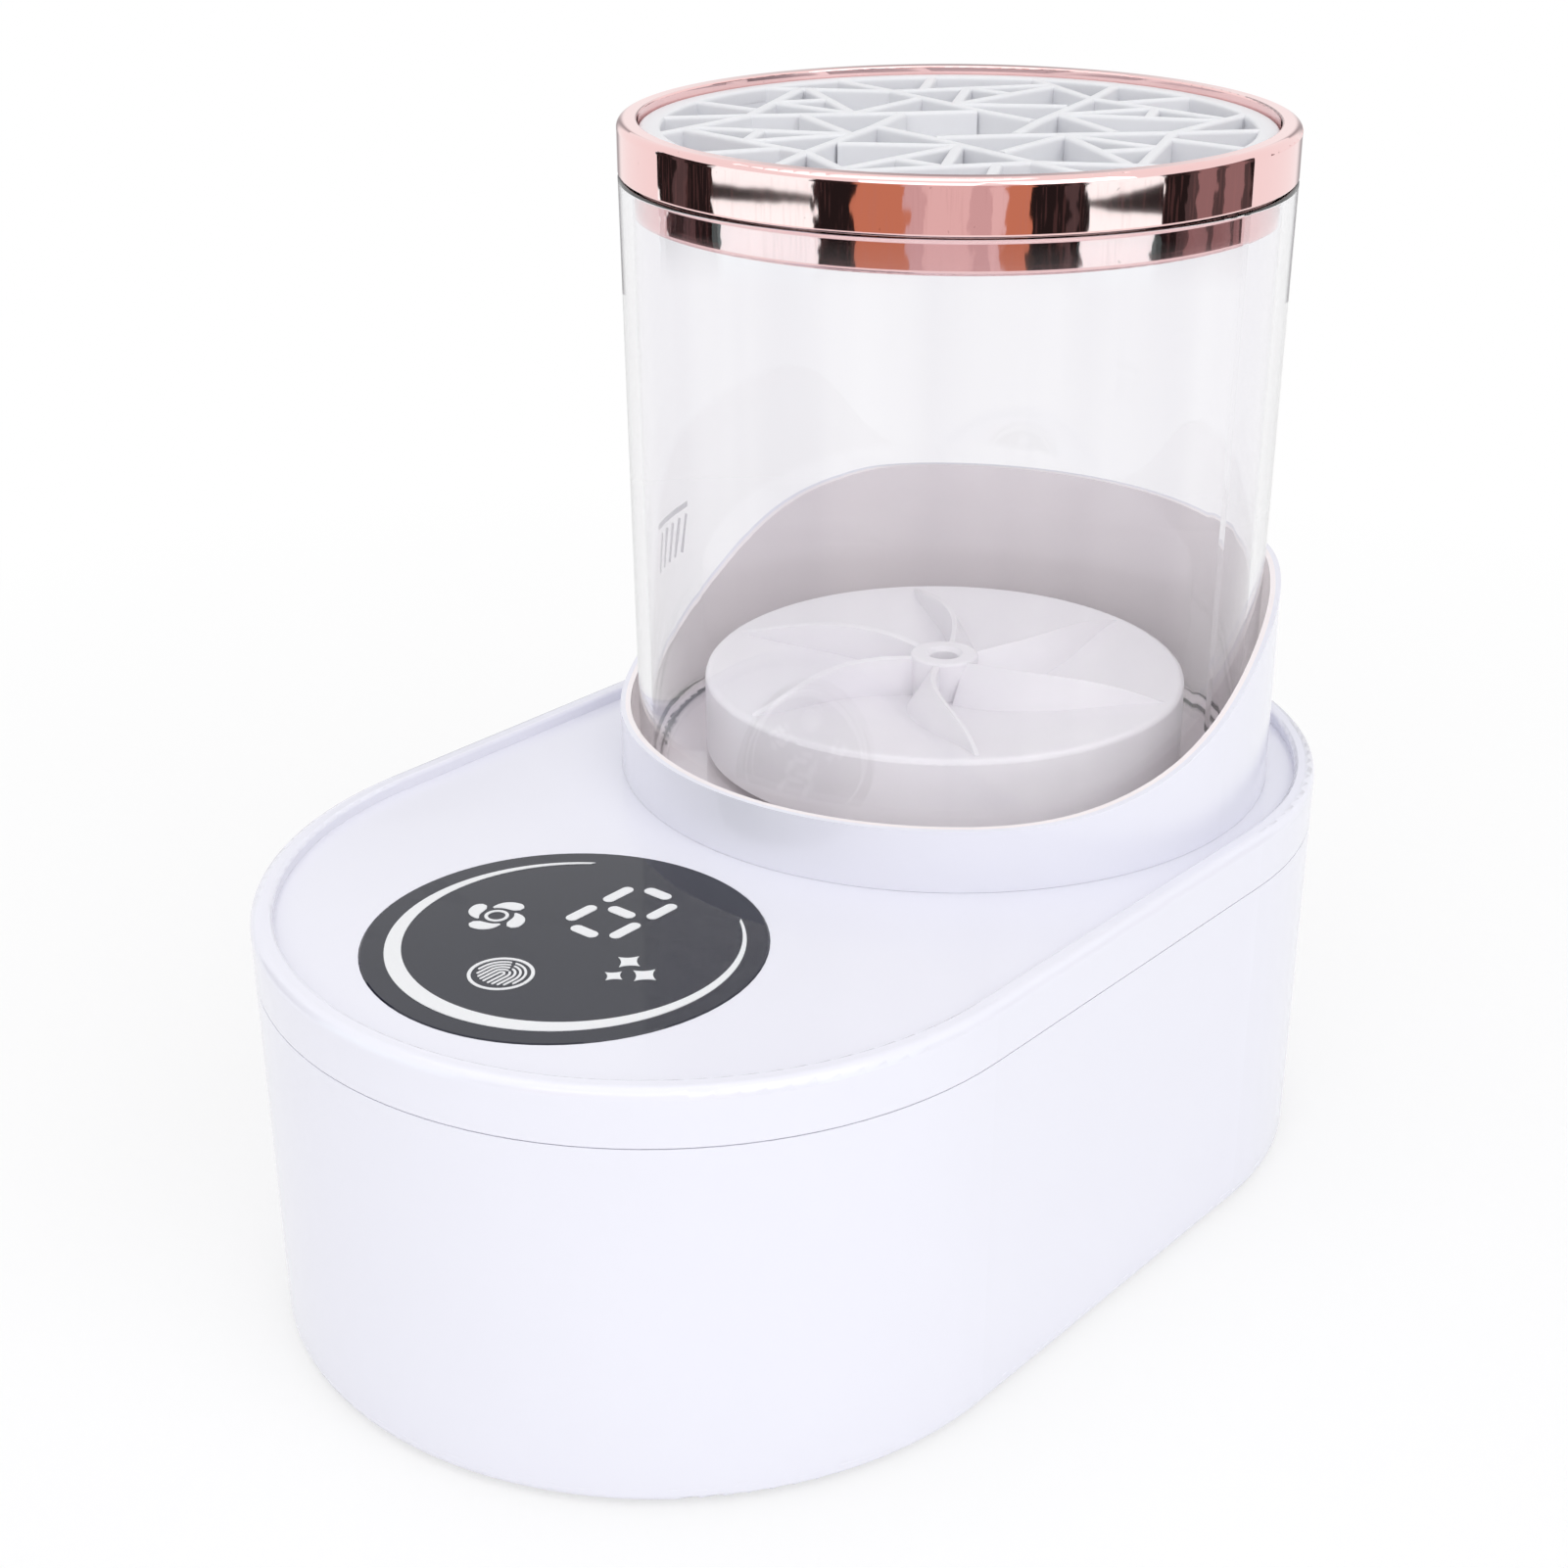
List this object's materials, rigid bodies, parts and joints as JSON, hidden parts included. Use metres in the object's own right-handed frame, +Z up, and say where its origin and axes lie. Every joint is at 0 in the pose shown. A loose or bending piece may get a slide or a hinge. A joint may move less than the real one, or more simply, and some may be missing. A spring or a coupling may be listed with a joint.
{
  "type": "make-up brush cleaner",
  "caption": "Electric make-up brush washer: slot-shaped drive base with a touch panel, a clear cup with a spinning vane disc, and a ribbed lid that holds brushes upright.",
  "frame": {"origin": "on the table under the middle of the base", "axes": "+Z up, +Y along the base towards the wash cup, -Y towards the touch panel, +X to the right when facing along +Y"},
  "size_m": [0.118, 0.1858, 0.1647],
  "materials": {
    "white_gloss": "glossy white",
    "white_matte": "matte white",
    "foot_rubber": "grey rubber",
    "steel": "plain steel",
    "smoked_panel": "glossy dark smoked window",
    "white_print": "white print",
    "grey_print": "grey print",
    "board_green": "green board",
    "lamp_white": "lamp plastic",
    "sensor_spring": "conductive rubber",
    "chip_black": "black moulded parts",
    "fan_black": "black",
    "motor_steel": "plated can",
    "bracket_metal": "sheet metal",
    "carrier_grey": "grey nylon",
    "magnet_metal": "nickel-plated magnets",
    "clear_cup": "clear",
    "white_disc": "satin white",
    "rose_plate": "rose-gold plating",
    "white_grid": "soft white"
  },
  "bodies": {
    "base": {"base_shell": "white_gloss", "top_cover": "white_gloss", "cup_collar": "white_gloss", "bottom_plate": "white_matte", "feet": "foot_rubber", "case_screws": "steel", "panel_window": "smoked_panel", "panel_marks": "white_print", "light_board": "board_green", "lamps": "lamp_white", "finger_sensor": "sensor_spring", "light_board_screws": "steel", "control_board": "board_green", "board_parts": "chip_black", "board_screws": "steel", "inlet_board": "board_green", "power_socket": "steel", "inlet_screws": "steel", "fan_frame": "fan_black", "drive_motor": "motor_steel", "motor_bracket": "bracket_metal", "bracket_screws": "steel"},
    "cup": {"wash_cup": "clear_cup", "cup_spindle": "steel", "fill_mark": "grey_print"},
    "spinner": {"spinner_disc": "white_disc", "spinner_magnets": "magnet_metal", "magnet_cover": "white_disc"},
    "lid": {"lid_ring": "rose_plate", "lid_grid": "white_grid"},
    "drive_rotor": {"rotor_shaft": "steel", "magnet_carrier": "carrier_grey", "drive_magnets": "magnet_metal"},
    "fan": {"fan_rotor": "fan_black"}
  },
  "joints": [
    {"name": "cup_lift", "type": "slide", "parent": "base", "child": "cup", "axis": [0, 0, 1], "range_m": [0, 0.045]},
    {"name": "lid_lift", "type": "slide", "parent": "cup", "child": "lid", "axis": [0, 0, 1], "range_m": [0, 0.03]},
    {"name": "spinner_spin", "type": "hinge", "parent": "cup", "child": "spinner", "pos_m": [0, 0.03275, 0.07], "axis": [0, 0, 1], "continuous": true},
    {"name": "drive_spin", "type": "hinge", "parent": "base", "child": "drive_rotor", "pos_m": [0, 0.03275, 0.057], "axis": [0, 0, 1], "continuous": true},
    {"name": "fan_spin", "type": "hinge", "parent": "base", "child": "fan", "pos_m": [0, 0.03275, 0.009], "axis": [0, 0, 1], "continuous": true}
  ],
  "couplings": [
    {"joint": "drive_spin", "follows": "spinner_spin", "ratio": 1}
  ]
}
